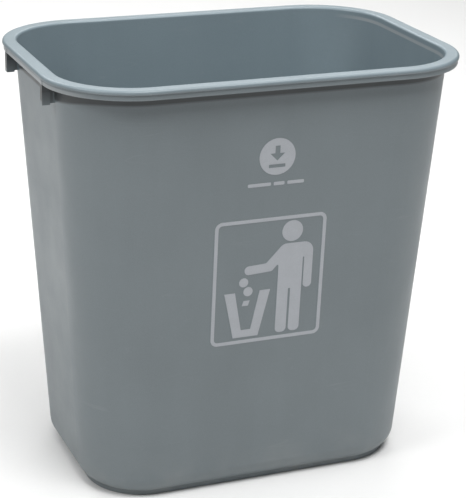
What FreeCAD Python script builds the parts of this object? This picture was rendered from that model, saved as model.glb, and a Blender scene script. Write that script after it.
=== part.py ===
import FreeCAD, Part
import math
import os

# A free-standing rectangular office wastebasket: one injection moulding, with a litter pictogram
# and a badge screen-printed on its front wall.
# The frame's origin is the bottom centre of the overall box. +Z is up, X runs along the long
# side, the printed front wall faces -Y and the two lugs are at the -X end. Millimetres.

# Rim
HEIGHT = 381.0
RIM_LENGTH = 375.6
RIM_DEPTH = 260.0
RIM_RADIUS = 75.0           # plan radius of the rim's outer corners
RIM_THICKNESS = 2.4         # thickness of the rim's flat top
RIM_LIP = 3.7               # height of the lip that runs round the rim's outer edge
LIP_ROUND = 2.6             # rounding of the lip's upper edge
LIP_UNDER_ROUND = 0.6
RIM_STEP = 1.1              # how far the skirt is set in under the lip
SKIRT_HEIGHT = 8.6          # from the rim's top to the skirt's lower edge
SKIRT_THICKNESS = 2.0
SKIRT_ROUND = 0.6
MOUTH_ROUND = 2.2           # rounding where the inside meets the rim's top

# Tub
WALL = 2.0                  # wall thickness, measured level
MOUTH_LENGTH = 350.5        # the walls' inside at the rim's top
MOUTH_DEPTH = 235.3
MOUTH_RADIUS = 62.9
BASE_LENGTH = 305.6         # the walls' outside, carried down to the floor plane
BASE_DEPTH = 197.7
BASE_RADIUS = 58.7
BASE_EDGE = 17.0            # rounding of the bottom edge
TOP_LENGTH = MOUTH_LENGTH + 2 * WALL
TOP_DEPTH = MOUTH_DEPTH + 2 * WALL
TOP_RADIUS = MOUTH_RADIUS + WALL

# Floor: a flat bottom carried on a hollow foot ring
FLOOR = 2.4                 # floor thickness
FOOT_HEIGHT = 2.6           # from the foot ring's sole to the underside of the flat bottom
FOOT_INSET = 7.3            # from the walls' outside, at the floor plane, to the foot ring's outside
FOOT_WIDTH = 9.0
FOOT_BURIED = 8.0           # the foot's block runs up to here, inside the rounded bottom edge
FOOT_ROUND = 0.8
FOOT_DRAFT = 1.0            # how much the recess inside the ring narrows on its way up
GATE_RADIUS = 4.0           # the moulding gate's round stub under the floor
GATE_HEIGHT = 0.8

# Grip at the -X end: two lugs below the rim
LUG_SPACING = 111.2         # centre to centre
LUG_WIDTH = 5.6
LUG_THICKNESS = 6.8         # across the tab, along X
LUG_SET_IN = 0.8            # the tab's outer face, in from the lip's outer edge
LUG_DROP = 17.0             # how far the tab hangs below the skirt
LUG_ROUND = 0.5
WEB_THICKNESS = 2.0
WEB_RISE = 1.1              # the web's lower edge is this much above the tab's

# Print on the front wall: sizes along the wall's own slope, from the border's centre
INK = 0.2
PRINT_X = -3.7              # the border's centre, from the tub's axis
PRINT_HEIGHT = 199.8        # the border's centre, above the floor plane
BORDER_WIDTH = 102.5
BORDER_HEIGHT = 115.5
BORDER_RADIUS = 6.5
BORDER_LINE = 3.2
BADGE_X = 2.0               # the badge and its bars share this centre, from the border's centre
BADGE_RISE = 112.3          # the badge's centre, up the slope from the border's centre
BADGE_RADIUS = 16.3
BARS_RISE = 88.2
BAR_HEIGHT = 3.0
BAR_GAP = 2.6
BAR_LENGTHS = [20.8, 9.8, 15.2]

WALL_LEAN = math.atan((TOP_DEPTH - BASE_DEPTH) / 2 / HEIGHT)

OVERLAP = 1.0               # how far a block that joins or cuts runs past the face it meets
TOLERANCE = 1e-4            # for telling which plane an edge lies in


def rounded_wire(length, depth, radius, z):
    """A level rounded rectangle about the tub's axis, started at the same corner every time."""
    x = length / 2 - radius
    y = depth / 2 - radius
    arcs = []
    for cx, cy, start in ((x, y, 0), (-x, y, 90), (-x, -y, 180), (x, -y, 270)):
        points = []
        for turn in (0, 45, 90):
            angle = math.radians(start + turn)
            points.append(FreeCAD.Vector(cx + radius * math.cos(angle), cy + radius * math.sin(angle), z))
        arcs.append(points)
    edges = []
    for index, points in enumerate(arcs):
        edges.append(Part.Arc(*points).toShape())
        following = arcs[(index + 1) % 4]
        edges.append(Part.LineSegment(points[2], following[0]).toShape())
    return Part.Wire(edges)


def rim_ring(inset, low, high):
    """A straight block with the rim's rounded-rectangle outline, set in from it."""
    wires = []
    for z in (low, high):
        wires.append(rounded_wire(RIM_LENGTH - 2 * inset, RIM_DEPTH - 2 * inset, RIM_RADIUS - inset, z))
    return Part.makeLoft(wires, True, True)


def base_prism(inset, low, high, draft=0.0):
    """A block with the base's outline, set in from it; each side narrows by draft at the top."""
    wires = []
    for margin, z in ((inset, low), (inset + draft, high)):
        wires.append(rounded_wire(BASE_LENGTH - 2 * margin, BASE_DEPTH - 2 * margin,
                                  BASE_RADIUS - margin, z))
    return Part.makeLoft(wires, True, True)


def tub_section(z, inset):
    """Length, depth and corner radius of the tapered tub at height z, set in from its outside."""
    share = z / HEIGHT
    length = BASE_LENGTH + (TOP_LENGTH - BASE_LENGTH) * share - 2 * inset
    depth = BASE_DEPTH + (TOP_DEPTH - BASE_DEPTH) * share - 2 * inset
    radius = BASE_RADIUS + (TOP_RADIUS - BASE_RADIUS) * share - inset
    return length, depth, radius


def tapered_block(low, high, inset):
    """The tub's outside, or a shape set in from it, between two heights."""
    wires = []
    for z in (low, high):
        length, depth, radius = tub_section(z, inset)
        wires.append(rounded_wire(length, depth, radius, z))
    return Part.makeLoft(wires, True, True)


def level_edges(solid, z):
    """The edges of a solid that lie all along in the level plane at z."""
    found = []
    for edge in solid.Edges:
        box = edge.BoundBox
        if abs(box.ZMin - z) < TOLERANCE and abs(box.ZMax - z) < TOLERANCE:
            found.append(edge)
    return found


def tub_outside():
    """The tapered outside with its rounded bottom edge, standing on the foot ring's block."""
    block = tapered_block(FOOT_HEIGHT, HEIGHT, 0)
    block = block.makeFillet(BASE_EDGE, level_edges(block, FOOT_HEIGHT))
    foot = base_prism(FOOT_INSET, 0, FOOT_BURIED)
    foot = foot.makeFillet(FOOT_ROUND, level_edges(foot, 0))
    return block.fuse(foot)


def tub_cavity():
    """The space inside the walls, with the trough that keeps the foot ring hollow."""
    low = FOOT_HEIGHT + FLOOR
    block = tapered_block(low, HEIGHT + OVERLAP, WALL)
    block = block.makeFillet(BASE_EDGE - WALL, level_edges(block, low))
    trough = base_prism(FOOT_INSET + WALL, FLOOR, FOOT_BURIED)
    core = base_prism(FOOT_INSET + FOOT_WIDTH - WALL, FLOOR, FOOT_BURIED)
    return block.fuse(trough.cut(core))


def foot_recess():
    """The recess inside the foot ring, with the moulding gate's stub left in it."""
    recess = base_prism(FOOT_INSET + FOOT_WIDTH, -OVERLAP, FOOT_HEIGHT, FOOT_DRAFT)
    stub_foot = FreeCAD.Vector(0, 0, FOOT_HEIGHT - GATE_HEIGHT)
    return recess.cut(Part.makeCylinder(GATE_RADIUS, GATE_HEIGHT, stub_foot))


def rim_block():
    """The rim's outside before its channel is hollowed: the lip, and the skirt set in under it."""
    lip_low = HEIGHT - RIM_LIP
    skirt_low = HEIGHT - SKIRT_HEIGHT
    lip = rim_ring(0, lip_low, HEIGHT)
    lip = lip.makeFillet(LIP_ROUND, level_edges(lip, HEIGHT))
    lip = lip.makeFillet(LIP_UNDER_ROUND, level_edges(lip, lip_low))
    skirt = rim_ring(RIM_STEP, skirt_low, lip_low + OVERLAP)
    skirt = skirt.makeFillet(SKIRT_ROUND, level_edges(skirt, skirt_low))
    return lip.fuse(skirt)


def rim_channel():
    """The hollow under the rim, between the skirt and the wall."""
    inner = rim_ring(RIM_STEP + SKIRT_THICKNESS, HEIGHT - SKIRT_HEIGHT - OVERLAP, HEIGHT - RIM_THICKNESS)
    return inner.cut(tapered_block(0, HEIGHT, 0))


def lug(y):
    """A tab down the skirt and below it, and the web that ties it to the tub's end wall."""
    outer = LUG_SET_IN - RIM_LENGTH / 2
    top = HEIGHT - RIM_THICKNESS
    low = HEIGHT - SKIRT_HEIGHT - LUG_DROP
    tab_corner = FreeCAD.Vector(outer, y - LUG_WIDTH / 2, low)
    tab = Part.makeBox(LUG_THICKNESS, LUG_WIDTH, top - low, tab_corner)
    tab = tab.makeFillet(LUG_ROUND, level_edges(tab, low))
    web_low = low + WEB_RISE
    wall_length, _, _ = tub_section(web_low, WALL / 2)
    web_start = outer + LUG_THICKNESS / 2
    web_stop = -wall_length / 2
    web_corner = FreeCAD.Vector(web_start, y - WEB_THICKNESS / 2, web_low)
    web = Part.makeBox(web_stop - web_start, WEB_THICKNESS, top - web_low, web_corner)
    return tab.fuse(web)


def mouth_edges(solid):
    """The level loop where the tub's inside meets the rim's top."""
    half_x = (MOUTH_LENGTH + RIM_LENGTH) / 4
    half_y = (MOUTH_DEPTH + RIM_DEPTH) / 4
    found = []
    for edge in level_edges(solid, HEIGHT):
        box = edge.BoundBox
        if max(-box.XMin, box.XMax) < half_x and max(-box.YMin, box.YMax) < half_y:
            found.append(edge)
    return found


def basket():
    """The whole moulding as one solid."""
    body = tub_outside().fuse(rim_block())
    body = body.cut(rim_channel())
    for side in (-1, 1):
        body = body.fuse(lug(side * LUG_SPACING / 2))
    body = body.cut(tub_cavity()).cut(foot_recess())
    body = body.removeSplitter()
    return body.makeFillet(MOUTH_ROUND, mouth_edges(body))


def on_front_wall(flat_shape):
    """Thicken a flat shape into ink and lay it on the front wall's sloping outside."""
    ink = flat_shape.extrude(FreeCAD.Vector(0, 0, INK))
    wall_y = -BASE_DEPTH / 2 - PRINT_HEIGHT * math.tan(WALL_LEAN)
    centre = FreeCAD.Vector(PRINT_X, wall_y, PRINT_HEIGHT)
    tilt = FreeCAD.Rotation(FreeCAD.Vector(1, 0, 0), 90 + math.degrees(WALL_LEAN))
    ink.Placement = FreeCAD.Placement(centre, tilt)
    return ink


def disc(x, y, radius):
    """A flat round face."""
    circle = Part.Circle(FreeCAD.Vector(x, y, 0), FreeCAD.Vector(0, 0, 1), radius)
    return Part.Face(Part.Wire([circle.toShape()]))


def polygon(points):
    """A flat face with straight sides through the given corners."""
    corners = [FreeCAD.Vector(x, y, 0) for x, y in points]
    return Part.Face(Part.makePolygon(corners + [corners[0]]))


def rounded_polygon(points):
    """A flat face through corners given as (x, y, radius), each rounded by its own radius."""
    count = len(points)
    edges = []
    ends = []
    for index in range(count):
        x, y, radius = points[index]
        here = FreeCAD.Vector(x, y, 0)
        before = FreeCAD.Vector(points[index - 1][0], points[index - 1][1], 0).sub(here).normalize()
        after_point = points[(index + 1) % count]
        after = FreeCAD.Vector(after_point[0], after_point[1], 0).sub(here).normalize()
        half = before.getAngle(after) / 2
        setback = radius / math.tan(half)
        centre = here + (before + after).normalize() * (radius / math.sin(half))
        first = here + before * setback
        last = here + after * setback
        if radius > 0:
            middle = centre + (here - centre).normalize() * radius
            edges.append(Part.Arc(first, middle, last).toShape())
        ends.append((first, last))
    for index in range(count):
        start = ends[index][1]
        stop = ends[(index + 1) % count][0]
        if start.distanceToPoint(stop) > 1e-6:
            edges.append(Part.LineSegment(start, stop).toShape())
    return Part.Face(Part.Wire(Part.__sortEdges__(edges)))


def rounded_rectangle(x, y, width, height, radius):
    """A flat rounded rectangle centred on x, y."""
    w = width / 2
    h = height / 2
    return rounded_polygon([(x - w, y - h, radius), (x + w, y - h, radius),
                            (x + w, y + h, radius), (x - w, y + h, radius)])


def border_print():
    """The pictogram's rounded border line."""
    outside = rounded_rectangle(0, 0, BORDER_WIDTH, BORDER_HEIGHT, BORDER_RADIUS)
    inside = rounded_rectangle(0, 0, BORDER_WIDTH - 2 * BORDER_LINE, BORDER_HEIGHT - 2 * BORDER_LINE,
                               BORDER_RADIUS - BORDER_LINE)
    return outside.cut(inside)


def head_print():
    """The figure's head, a plain disc."""
    return disc(20.0, 43.4, 9.6)


def figure_print():
    """The figure's body: one arm reaching out to the left, the other hanging, and two legs."""
    shoulder_y = 32.0
    foot_y = -51.7
    left = 8.6
    right = 31.2
    arm_out = 40.5
    slot_top = 17.8
    arm_end = -11.2
    crotch_y = -10.4
    gap_left = 18.9
    gap_right = 20.9
    return rounded_polygon([
        (12.2, shoulder_y, 7.0),
        (-3.0, 15.6, 3.0),
        (-22.8, 14.6, 3.9),
        (-22.4, 6.4, 3.9),
        (2.6, 7.8, 3.5),
        (left, 14.6, 1.0),
        (left, foot_y, 4.2),
        (gap_left, foot_y, 4.2),
        (gap_left, crotch_y, 0.6),
        (gap_right, crotch_y, 0.6),
        (gap_right, foot_y, 4.2),
        (right, foot_y, 4.2),
        (right, slot_top, 0.4),
        (right + 1.3, slot_top, 0.4),
        (right + 1.3, arm_end, 3.9),
        (arm_out, arm_end, 3.9),
        (arm_out, shoulder_y, 9.0)])


def bin_print():
    """The bin symbol: two leaning bars on a short floor."""
    x = -19.1
    top = -9.0
    low = -51.9
    half_top = 21.2
    half_low = 11.6
    bar = 9.8
    floor_top = low + 7.0
    inner_low = 4.4
    return polygon([(x - half_top, top), (x - half_low, low), (x + half_low, low), (x + half_top, top),
                    (x + half_top - bar, top), (x + inner_low, floor_top),
                    (x - inner_low, floor_top), (x - half_top + bar, top)])


def litter_print():
    """Three scraps falling from the hand: two round and one slanted."""
    scrap = polygon([(-23.6, -22.1), (-18.0, -22.1), (-16.5, -17.4), (-22.3, -17.4)])
    return Part.makeCompound([disc(-22.9, -0.1, 4.2), disc(-18.5, -8.9, 4.3), scrap])


def badge_disc_print():
    """A round badge with a plain downward arrow over a short bar left open in it."""
    shaft = 2.2
    head = 6.6
    arrow_low = -3.6
    arrow_top = 9.6
    neck = arrow_low + head
    arrow = polygon([(shaft, arrow_top), (-shaft, arrow_top), (-shaft, neck), (-head, neck),
                     (0, arrow_low), (head, neck), (shaft, neck)])
    tray = rounded_rectangle(0, -8.2, 15.0, 3.0, 0.6)
    plate = disc(0, 0, BADGE_RADIUS).cut(arrow).cut(tray)
    plate.translate(FreeCAD.Vector(BADGE_X, BADGE_RISE, 0))
    return plate


def badge_bars_print():
    """Three plain bars in a row below the badge."""
    total = sum(BAR_LENGTHS) + BAR_GAP * (len(BAR_LENGTHS) - 1)
    left = BADGE_X - total / 2
    bars = []
    for length in BAR_LENGTHS:
        bars.append(rounded_rectangle(left + length / 2, BARS_RISE, length, BAR_HEIGHT, 0.8))
        left += length + BAR_GAP
    return Part.makeCompound(bars)


PRINTS = {
    "badge_disc": badge_disc_print,
    "badge_bars": badge_bars_print,
    "pictogram_border": border_print,
    "pictogram_head": head_print,
    "pictogram_figure": figure_print,
    "pictogram_bin": bin_print,
    "pictogram_litter": litter_print,
}


def main():
    """Build every node and write it to its own STEP file."""
    os.makedirs("parts", exist_ok=True)
    nodes = {"basket": basket()}
    for name, draw in PRINTS.items():
        nodes[name] = on_front_wall(draw())
    for name, shape in nodes.items():
        print(name, "solids", len(shape.Solids), "valid", shape.isValid(), "volume", round(shape.Volume, 1))
        shape.exportStep("parts/" + name + ".step")


main()
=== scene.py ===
import math

import bpy
from mathutils import Matrix, Vector


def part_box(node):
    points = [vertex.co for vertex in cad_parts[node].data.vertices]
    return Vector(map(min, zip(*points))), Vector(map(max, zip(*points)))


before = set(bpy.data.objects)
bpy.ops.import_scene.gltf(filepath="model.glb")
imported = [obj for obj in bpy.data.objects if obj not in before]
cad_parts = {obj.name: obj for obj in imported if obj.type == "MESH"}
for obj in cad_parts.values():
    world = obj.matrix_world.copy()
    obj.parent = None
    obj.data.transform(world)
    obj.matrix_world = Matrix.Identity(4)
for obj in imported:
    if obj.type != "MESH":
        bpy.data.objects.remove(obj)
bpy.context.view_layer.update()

# Metres, in the part's own frame: +Z up, the printed wall faces -Y, the lugs are at the -X end.
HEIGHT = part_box("basket")[1].z
CENTRE = Vector((0.0, 0.0, HEIGHT / 2))     # the middle of the tub's height, on its axis
SKIRT_LOW = HEIGHT - 0.0086                 # the lower edge of the rim's skirt
LUGS_START = -0.1768                        # along X, just outside the tub's wall under the rim

# Camera, aimed from the front and a little from the left and above
CAMERA_AZIMUTH = math.radians(-22.309)
CAMERA_ELEVATION = math.radians(20.476)
CAMERA_ROLL = math.radians(1.423)
CAMERA_DISTANCE = 1.55696
CAMERA_RIGHT = 0.00722      # the camera's own shift to its right and up, which frames the object
CAMERA_UP = -0.00201
CAMERA_LENS = 122.881

# Studio
FLOOR_HALF = 6.0
FLOOR_COLOUR = (0.8, 0.8, 0.795)
WORLD_COLOUR = (1.0, 1.0, 1.0)
WORLD_STRENGTH = 0.05

# Soft lights: name, place, target, width, height, power in watts
LIGHTS = (
    ("overhead", (0.0, 0.2, 2.2), CENTRE, 2.4, 2.0, 19),
    ("front_high", (0.2, -0.95, 2.2), CENTRE, 1.2, 0.9, 38),
    ("back_left", (-0.5, 2.1, 1.8), (0.1, 1.6, 0.0), 1.4, 1.0, 24),
    ("back_right", (0.9, 1.9, 1.7), (0.4, 0.8, 0.0), 1.4, 1.0, 16),
    ("left_high", (-1.7, -0.4, 1.85), CENTRE, 1.0, 0.7, 22),
    ("right_high", (1.3, 0.0, 2.2), CENTRE, 1.0, 0.8, 9),
)

# Finishes
PLASTIC = (0.176, 0.206, 0.22)
PLASTIC_PAINTED_LIGHTER = (0.196, 0.25, 0.278)        # a lighter, bluer copy of the plastic for the inside and most of the rim's top: painted light
# Worn edges and scuffs, and the painted highlight on the skirt at the lug end
WORN_AND_HIGHLIGHT_PLASTIC = (0.38, 0.40, 0.41)
DUST = (0.45, 0.45, 0.43)
# Painted shade: a dark colour close under the rim and down the lugs
PAINTED_SHADE = (0.052, 0.057, 0.06)
INK = (0.4, 0.42, 0.45)
PLASTIC_IOR = 1.49

# How strongly each sign of use, the painted light and the painted shade cover the plastic, or the
# ink
# painted light: how far the rim's top takes the lighter copy of the plastic
RIM_TOP_PAINTED_LIGHT = 0.8
EDGE_WEAR_COVER = 0.35
SCUFF_COVER = 0.12
DUST_COVER = 0.18
# painted highlight on the skirt at the lug end
PAINTED_HIGHLIGHT_COVER = 0.65
# painted shade under the rim and down the lugs
PAINTED_SHADE_COVER = 0.94
PINHOLE_COVER = 0.35
THIN_EDGE_COVER = 0.2

# Where the signs of use, the painted light and the painted shade begin and are full, as heights
DUST_SPAN = (0.05, 0.002)
# the rim's top, where the painted lighter colour reaches
RIM_TOP_SPAN = (HEIGHT - 0.0045, HEIGHT - 0.001)
CREST_SPAN = (HEIGHT - 0.004, HEIGHT - 0.0005)          # polished by hands
PAINTED_HIGHLIGHT_SPAN = (HEIGHT - 0.0048, HEIGHT - 0.006)         # painted highlight on the skirt's lower part, at the lug end
PAINTED_SHADE_SPAN = (SKIRT_LOW - 0.008, SKIRT_LOW - 0.0058)    # painted shade close under the rim
PAINTED_SHADE_END_DROP = 0.0068                                 # the painted shade reaches lower still on the lug end's wall
# painted shade down the lugs
LUG_PAINTED_SHADE_SPAN = (SKIRT_LOW - 0.019, SKIRT_LOW - 0.004)


def make_camera():
    """A long lens that turns with the camera's azimuth, elevation and roll."""
    back = Vector((math.sin(CAMERA_AZIMUTH) * math.cos(CAMERA_ELEVATION),
                   -math.cos(CAMERA_AZIMUTH) * math.cos(CAMERA_ELEVATION),
                   math.sin(CAMERA_ELEVATION)))
    level = Vector((math.cos(CAMERA_AZIMUTH), math.sin(CAMERA_AZIMUTH), 0))
    upright = back.cross(level)
    right = level * math.cos(CAMERA_ROLL) + upright * math.sin(CAMERA_ROLL)
    up = upright * math.cos(CAMERA_ROLL) - level * math.sin(CAMERA_ROLL)
    camera = bpy.data.objects.new("camera", bpy.data.cameras.new("camera"))
    bpy.context.scene.collection.objects.link(camera)
    camera.data.lens = CAMERA_LENS
    turn = Matrix((right, up, back)).transposed().to_4x4()
    place = CENTRE + back * CAMERA_DISTANCE + right * CAMERA_RIGHT + up * CAMERA_UP
    camera.matrix_world = Matrix.Translation(place) @ turn
    bpy.context.scene.camera = camera


def softbox(name, place, target, width, height, power):
    """A rectangular soft light that faces a target."""
    data = bpy.data.lights.new(name, "AREA")
    data.shape = "RECTANGLE"
    data.size = width
    data.size_y = height
    data.energy = power
    light = bpy.data.objects.new(name, data)
    light.location = place
    light.rotation_mode = "QUATERNION"
    light.rotation_quaternion = (Vector(target) - Vector(place)).to_track_quat("-Z", "Y")
    bpy.context.scene.collection.objects.link(light)


def new_material(name):
    """A material with one Principled surface, ready for its maps."""
    material = bpy.data.materials.new(name)
    material.use_nodes = True
    tree = material.node_tree
    return material, tree, tree.nodes["Principled BSDF"]


def add(tree, kind, values=None, **settings):
    """Adds a node, with its settings, and gives its inputs values or other nodes' outputs."""
    node = tree.nodes.new(kind)
    for name, value in settings.items():
        setattr(node, name, value)
    for name, value in (values or {}).items():
        if isinstance(value, bpy.types.NodeSocket):
            tree.links.new(value, node.inputs[name])
        else:
            node.inputs[name].default_value = value
    return node


def noise(tree, size, detail=2.0, stretch=(1, 1, 1), turn=(0, 0, 0)):
    """Soft noise fixed to the object, with features of about this size in metres."""
    place = add(tree, "ShaderNodeTexCoord").outputs["Object"]
    laid = add(tree, "ShaderNodeMapping", {"Vector": place, "Scale": stretch, "Rotation": turn})
    made = add(tree, "ShaderNodeTexNoise", {"Vector": laid.outputs[0], "Scale": 1 / size,
                                            "Detail": detail, "Roughness": 0.55})
    return made.outputs["Fac"]


def remap(tree, value, low, high, to_low=0.0, to_high=1.0):
    """A value moved from one range into another, and held at its ends."""
    return add(tree, "ShaderNodeMapRange", {"Value": value, "From Min": low, "From Max": high,
                                            "To Min": to_low, "To Max": to_high}).outputs[0]


def combine(tree, operation, first, *others):
    """One arithmetic operation carried along a row of values."""
    for other in others:
        first = add(tree, "ShaderNodeMath", {0: first, 1: other}, operation=operation).outputs[0]
    return first


def tint(tree, colour, amount):
    """A colour made lighter or darker by an amount near one."""
    return add(tree, "ShaderNodeVectorMath", {0: colour, "Scale": amount},
               operation="SCALE").outputs[0]


def cover(tree, colour, over, amount):
    """A colour partly covered by another."""
    return add(tree, "ShaderNodeMixRGB", {"Fac": amount, "Color1": colour,
                                          "Color2": (*over, 1)}).outputs[0]


def hairlines(tree, size, stretch, turn, width):
    """Thin lines along one direction: the level line where stretched noise crosses its middle."""
    field = noise(tree, size, 1.0, stretch, turn)
    away = combine(tree, "ABSOLUTE", combine(tree, "SUBTRACT", field, 0.5), 0)
    return remap(tree, away, width, 0.0)


def edge_wear(tree, radius, full):
    """How near a point is to a sharp edge, from 0 to 1."""
    rounded = add(tree, "ShaderNodeBevel", {"Radius": radius}, samples=6).outputs[0]
    normal = add(tree, "ShaderNodeNewGeometry").outputs["Normal"]
    match = add(tree, "ShaderNodeVectorMath", {0: rounded, 1: normal}, operation="DOT_PRODUCT")
    return remap(tree, match.outputs["Value"], 0.999, full)


def height_above_floor(tree):
    """The height of a point above the floor, in metres."""
    place = add(tree, "ShaderNodeTexCoord").outputs["Object"]
    return add(tree, "ShaderNodeSeparateXYZ", {"Vector": place}).outputs["Z"]


def outside_end_wall(tree):
    """1 on the lugs and the rim's overhang at the lug end, 0 on the tub."""
    place = add(tree, "ShaderNodeTexCoord").outputs["Object"]
    along = add(tree, "ShaderNodeSeparateXYZ", {"Vector": place}).outputs["X"]
    return remap(tree, along, LUGS_START, LUGS_START - 0.001)


def faces_lug_end(tree, start, full):
    """0 to 1 as a surface turns towards the lug end, over this span of its normal's X."""
    normal = add(tree, "ShaderNodeNewGeometry").outputs["Normal"]
    along = add(tree, "ShaderNodeSeparateXYZ", {"Vector": normal}).outputs["X"]
    return remap(tree, along, start, full)


def faces_inwards(tree):
    """1 on surfaces that face the tub's axis, 0 on those that face away."""
    geometry = add(tree, "ShaderNodeNewGeometry")
    level = add(tree, "ShaderNodeVectorMath", {0: geometry.outputs["Position"], 1: (1, 1, 0)},
                operation="MULTIPLY").outputs[0]
    facing = add(tree, "ShaderNodeVectorMath", {0: level, 1: geometry.outputs["Normal"]},
                 operation="DOT_PRODUCT")
    return remap(tree, facing.outputs["Value"], 0.004, -0.004)


def under_rim_painted_shade(tree, height, inside, skirt, lugs):
    """Painted shade close under the rim and down the lugs, on outside surfaces only."""
    square_to_end = combine(tree, "POWER", faces_lug_end(tree, 0.0, -1.0), 6.0)
    lowered = combine(tree, "MULTIPLY", square_to_end, PAINTED_SHADE_END_DROP)
    on_wall = remap(tree, combine(tree, "ADD", height, lowered), *PAINTED_SHADE_SPAN)
    on_lugs = combine(tree, "MULTIPLY", remap(tree, height, *LUG_PAINTED_SHADE_SPAN), lugs)
    allowed = combine(tree, "SUBTRACT", 1.0, combine(tree, "MAXIMUM", inside, skirt))
    return combine(tree, "MULTIPLY", combine(tree, "MAXIMUM", on_wall, on_lugs), allowed)


def relief(tree, surface, *layers):
    """Bump from layers of (value, height in millimetres)."""
    total = 0.0
    for value, height in layers:
        total = combine(tree, "ADD", combine(tree, "MULTIPLY", value, height), total)
    bump = add(tree, "ShaderNodeBump", {"Height": total, "Strength": 1.0, "Distance": 0.001})
    tree.links.new(bump.outputs[0], surface.inputs["Normal"])


def make_plastic():
    """Satin grey polypropylene, fine-grained from its mould and lightly used, with painted light: a
    lighter inside and rim top, a painted highlight on the skirt at the lug end and painted shade
    under the rim.
    """
    material, tree, surface = new_material("grey_polypropylene")
    cloud = noise(tree, 0.11, 3.0)
    flow = noise(tree, 0.03, 3.0, (1, 1, 0.12))
    peel = noise(tree, 0.003)
    grain = noise(tree, 0.0007, 1.0)
    patch = noise(tree, 0.035, 4.0)
    height = height_above_floor(tree)
    lugs = outside_end_wall(tree)
    inside = combine(tree, "MULTIPLY", faces_inwards(tree), combine(tree, "SUBTRACT", 1.0, lugs))
    skirt = remap(tree, height, SKIRT_LOW, SKIRT_LOW + 0.0005)
    rim_top = remap(tree, height, *RIM_TOP_SPAN, 0.0, RIM_TOP_PAINTED_LIGHT)
    crest = remap(tree, height, *CREST_SPAN)

    draw_lines = hairlines(tree, 0.004, (1, 1, 0.015), (0, 0, 0), 0.02)
    draw_marks = combine(tree, "MULTIPLY", draw_lines, remap(tree, patch, 0.45, 0.7), inside)
    scuff_lines = hairlines(tree, 0.012, (0.12, 0.12, 1), (0.2, 0.35, 0), 0.008)
    scuffs = combine(tree, "MULTIPLY", scuff_lines, remap(tree, patch, 0.52, 0.66))
    worn = combine(tree, "MULTIPLY", edge_wear(tree, 0.0016, 0.9), remap(tree, patch, 0.35, 0.6))
    dusty = combine(tree, "MULTIPLY", remap(tree, height, *DUST_SPAN), remap(tree, patch, 0.4, 0.7))
    # Painted shade close under the rim and down the lugs
    painted_shade = under_rim_painted_shade(tree, height, inside, skirt, lugs)
    # Painted highlight on the skirt's lower part at the lug end
    painted_highlight = combine(tree, "MULTIPLY", skirt, remap(tree, height, *PAINTED_HIGHLIGHT_SPAN),
                     faces_lug_end(tree, -0.6, -0.95))

    shade = combine(tree, "MULTIPLY", remap(tree, cloud, 0.3, 0.7, 0.965, 1.035),
                    remap(tree, flow, 0.3, 0.7, 0.98, 1.02),
                    remap(tree, grain, 0.3, 0.7, 0.96, 1.04))
    # Painted light: the inside and the rim's top in a lighter, bluer copy of the plastic
    painted_lighter = combine(tree, "MAXIMUM", inside, rim_top)
    colour = cover(tree, (*PLASTIC, 1), PLASTIC_PAINTED_LIGHTER, painted_lighter)
    colour = tint(tree, colour, shade)
    # Worn edges, scuffs and dust, then the painted highlight at the lug end and the painted shade
    # under the rim
    for over, mask, amount in ((WORN_AND_HIGHLIGHT_PLASTIC, worn, EDGE_WEAR_COVER),
                               (WORN_AND_HIGHLIGHT_PLASTIC, scuffs, SCUFF_COVER),
                               (DUST, dusty, DUST_COVER),
                               (WORN_AND_HIGHLIGHT_PLASTIC, painted_highlight, PAINTED_HIGHLIGHT_COVER),
                               (PAINTED_SHADE, painted_shade, PAINTED_SHADE_COVER)):
        colour = cover(tree, colour, over, combine(tree, "MULTIPLY", mask, amount))
    tree.links.new(colour, surface.inputs["Base Color"])

    rough = combine(tree, "ADD", remap(tree, patch, 0.3, 0.7, 0.38, 0.47),
                    remap(tree, grain, 0.3, 0.7, -0.03, 0.03))
    for mask, amount in ((scuffs, 0.15), (dusty, 0.15), (worn, -0.06), (crest, -0.05)):
        rough = combine(tree, "ADD", rough, combine(tree, "MULTIPLY", mask, amount))
    tree.links.new(rough, surface.inputs["Roughness"])
    surface.inputs["IOR"].default_value = PLASTIC_IOR
    relief(tree, surface, (cloud, 0.5), (peel, 0.03), (grain, 0.012), (draw_marks, -0.012),
           (scuffs, -0.01))
    return material


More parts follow.
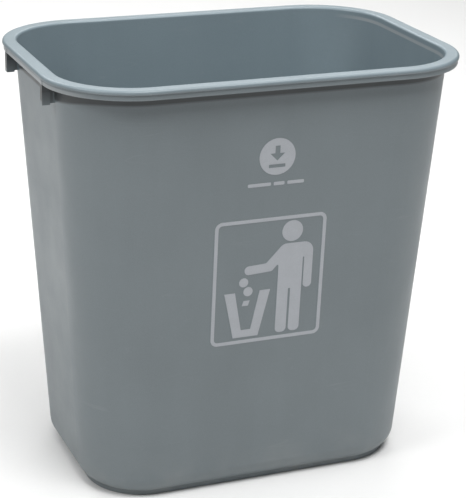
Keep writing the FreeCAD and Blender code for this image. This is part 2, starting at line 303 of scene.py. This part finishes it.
def make_ink():
    """Screen-print ink: matt, a little mottled, with pinholes and a thin edge."""
    material, tree, surface = new_material("screen_print_ink")
    mottle = noise(tree, 0.012, 3.0)
    peel = noise(tree, 0.003)
    grain = noise(tree, 0.0007, 1.0)
    speck = noise(tree, 0.0016, 2.0)
    thin = edge_wear(tree, 0.0006, 0.8)
    shade = combine(tree, "MULTIPLY", remap(tree, mottle, 0.3, 0.7, 0.97, 1.03),
                    remap(tree, grain, 0.3, 0.7, 0.96, 1.04))
    colour = tint(tree, INK, shade)
    holes = combine(tree, "MULTIPLY", remap(tree, speck, 0.72, 0.78), PINHOLE_COVER)
    edges = combine(tree, "MULTIPLY", thin, THIN_EDGE_COVER)
    colour = cover(tree, colour, PLASTIC, combine(tree, "MAXIMUM", holes, edges))
    tree.links.new(colour, surface.inputs["Base Color"])
    tree.links.new(remap(tree, mottle, 0.3, 0.7, 0.46, 0.56), surface.inputs["Roughness"])
    relief(tree, surface, (peel, 0.02), (grain, 0.012))
    return material


def make_floor_paint():
    """Pale matt floor paint, faintly uneven."""
    material, tree, surface = new_material("floor_paint")
    cloud = noise(tree, 0.6, 3.0)
    grain = noise(tree, 0.004, 2.0)
    shade = combine(tree, "MULTIPLY", remap(tree, cloud, 0.3, 0.7, 0.992, 1.008),
                    remap(tree, grain, 0.3, 0.7, 0.995, 1.005))
    tree.links.new(tint(tree, FLOOR_COLOUR, shade), surface.inputs["Base Color"])
    tree.links.new(remap(tree, cloud, 0.3, 0.7, 0.62, 0.74), surface.inputs["Roughness"])
    relief(tree, surface, (grain, 0.02))
    return material


def make_floor():
    """A plain pale floor."""
    mesh = bpy.data.meshes.new("studio_floor")
    corners = [(-FLOOR_HALF, -FLOOR_HALF, 0), (FLOOR_HALF, -FLOOR_HALF, 0),
               (FLOOR_HALF, FLOOR_HALF, 0), (-FLOOR_HALF, FLOOR_HALF, 0)]
    mesh.from_pydata(corners, [], [(0, 1, 2, 3)])
    floor = bpy.data.objects.new("studio_floor", mesh)
    bpy.context.scene.collection.objects.link(floor)
    mesh.materials.append(make_floor_paint())


def make_world():
    """An even white surround."""
    world = bpy.data.worlds.new("studio")
    world.use_nodes = True
    surround = world.node_tree.nodes["Background"]
    surround.inputs["Color"].default_value = (*WORLD_COLOUR, 1)
    surround.inputs["Strength"].default_value = WORLD_STRENGTH
    bpy.context.scene.world = world


make_camera()
make_world()
make_floor()
for light in LIGHTS:
    softbox(*light)
bpy.context.scene.view_settings.view_transform = "Standard"

plastic = make_plastic()
ink = make_ink()
for name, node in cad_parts.items():
    node.data.materials.clear()
    node.data.materials.append(plastic if name == "basket" else ink)
